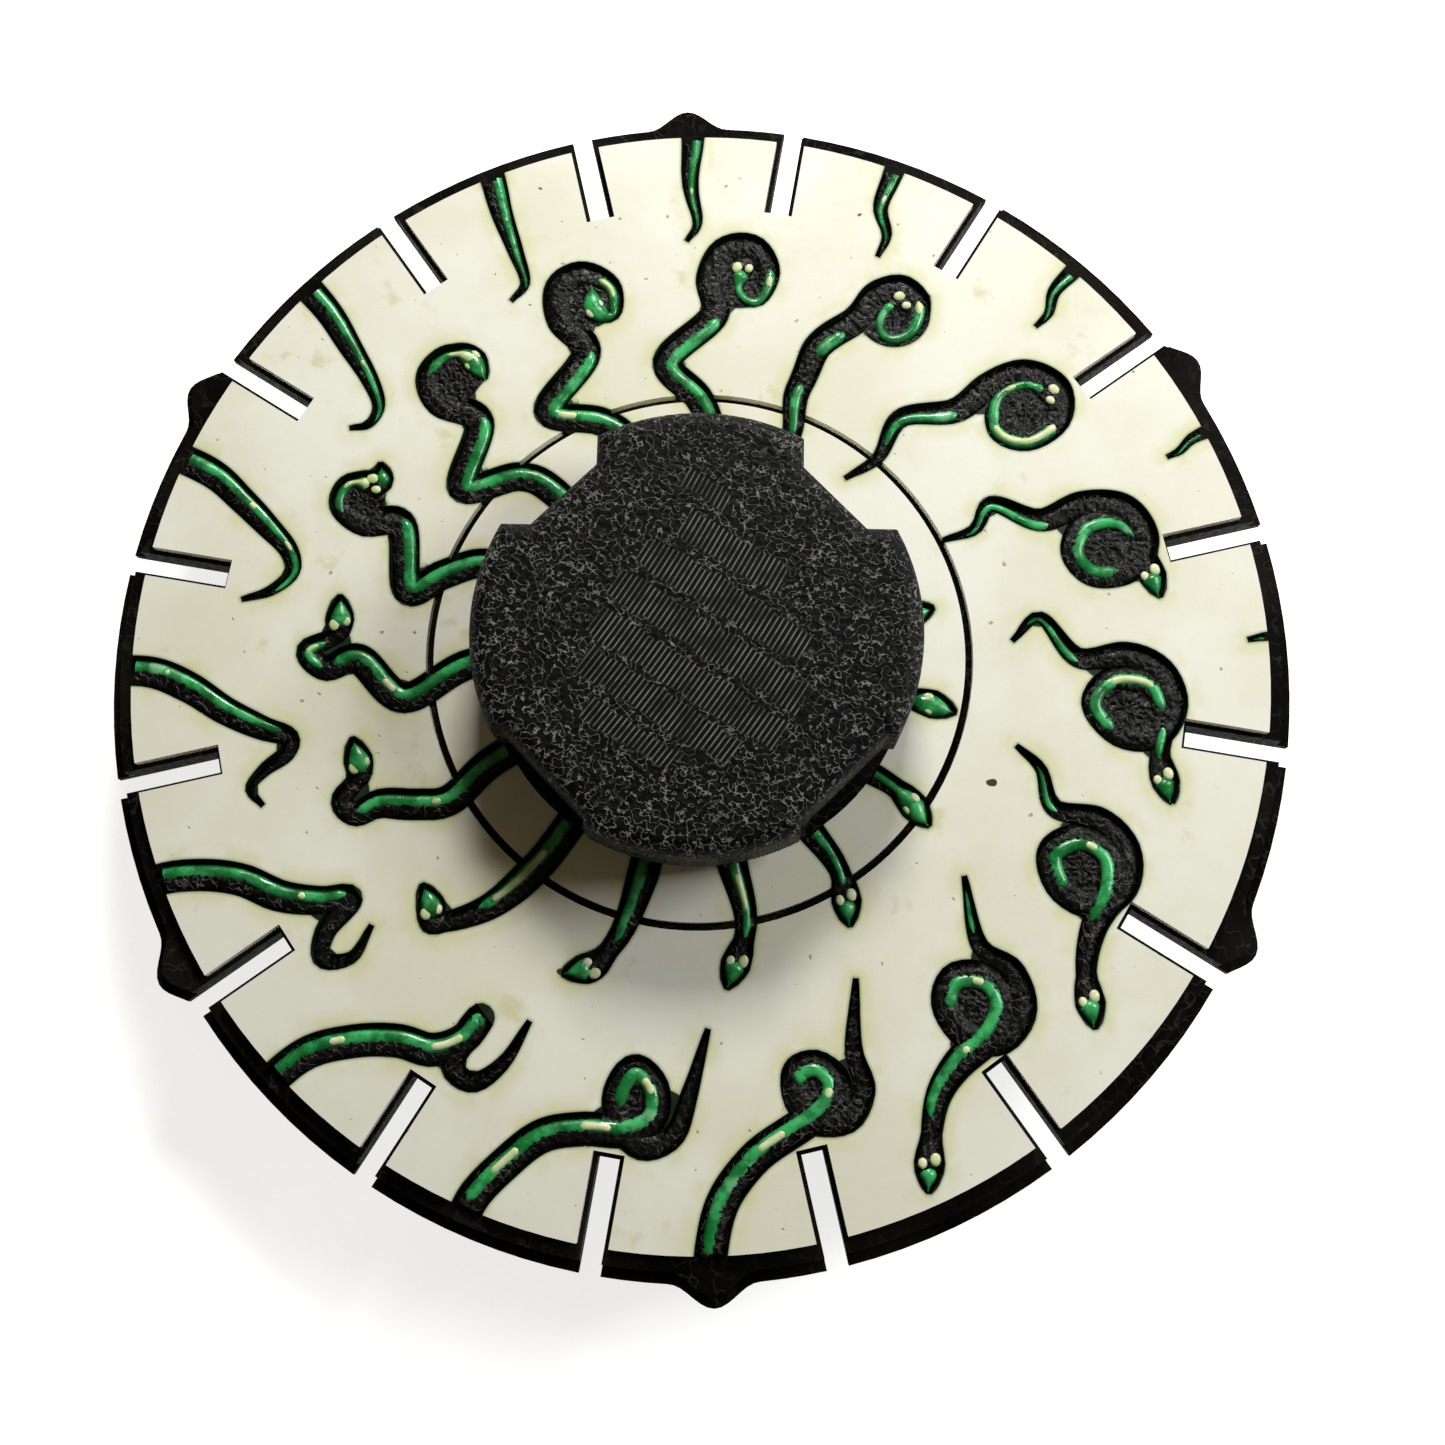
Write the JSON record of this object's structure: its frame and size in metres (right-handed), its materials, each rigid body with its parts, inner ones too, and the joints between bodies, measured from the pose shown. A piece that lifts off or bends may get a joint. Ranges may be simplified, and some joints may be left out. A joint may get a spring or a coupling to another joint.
{
  "type": "slotted animation disc spinner",
  "caption": "Slotted animation disc with inlaid snakes that spins on a ball bearing held between two finger pads.",
  "frame": {"origin": "centre of the lower finger pad's underside", "axes": "+Z is the spin axis, from the lower pad to the picture face; +Y points to one of the six finger bumps"},
  "size_m": [0.091, 0.0942, 0.022],
  "materials": {
    "black_plastic": "printed black PLA, satin on the layer lines",
    "cream_plastic": "printed cream PLA, smooth first layer with fine pits",
    "green_plastic": "printed silk green PLA, glossy",
    "pale_plastic": "printed pale cream PLA spots",
    "pad_plastic": "printed black PLA with a wrinkled, ribbed top skin",
    "race_steel": "ground bearing steel",
    "ball_steel": "polished bearing steel",
    "shield_steel": "pressed steel, satin",
    "cage_brass": "pressed brass, satin",
    "pin_steel": "turned steel"
  },
  "bodies": {
    "grip": {"top_pad": "pad_plastic", "bottom_pad": "pad_plastic", "joining_pin": "pin_steel", "bearing_inner_race": "race_steel"},
    "disc": {"base_disc": "black_plastic", "face_outer": "cream_plastic", "face_inner": "cream_plastic", "pale_marks": "pale_plastic", "snake_01": "green_plastic", "snake_02": "green_plastic", "snake_03": "green_plastic", "snake_04": "green_plastic", "snake_05": "green_plastic", "snake_06": "green_plastic", "snake_07": "green_plastic", "snake_08": "green_plastic", "snake_09": "green_plastic", "snake_10": "green_plastic", "snake_11": "green_plastic", "snake_12": "green_plastic", "snake_13": "green_plastic", "snake_14": "green_plastic", "snake_15": "green_plastic", "snake_16": "green_plastic", "snake_17": "green_plastic", "snake_18": "green_plastic", "snake_19": "green_plastic", "snake_20": "green_plastic", "snake_21": "green_plastic", "snake_22": "green_plastic", "snake_23": "green_plastic", "snake_24": "green_plastic", "snake_25": "green_plastic", "snake_26": "green_plastic", "snake_27": "green_plastic", "snake_28": "green_plastic", "snake_29": "green_plastic", "snake_30": "green_plastic", "snake_31": "green_plastic", "snake_32": "green_plastic", "bearing_outer_race": "race_steel", "bearing_shield_top": "shield_steel", "bearing_shield_bottom": "shield_steel"},
    "cage": {"bearing_cage": "cage_brass", "bearing_balls": "ball_steel"}
  },
  "joints": [
    {"name": "disc_spin", "type": "hinge", "parent": "grip", "child": "disc", "pos_m": [0, 0, 0.011], "axis": [0, 0, 1], "continuous": true},
    {"name": "cage_spin", "type": "hinge", "parent": "grip", "child": "cage", "pos_m": [0, 0, 0.011], "axis": [0, 0, 1], "continuous": true}
  ],
  "couplings": [
    {"joint": "cage_spin", "follows": "disc_spin", "ratio": 0.6323}
  ]
}
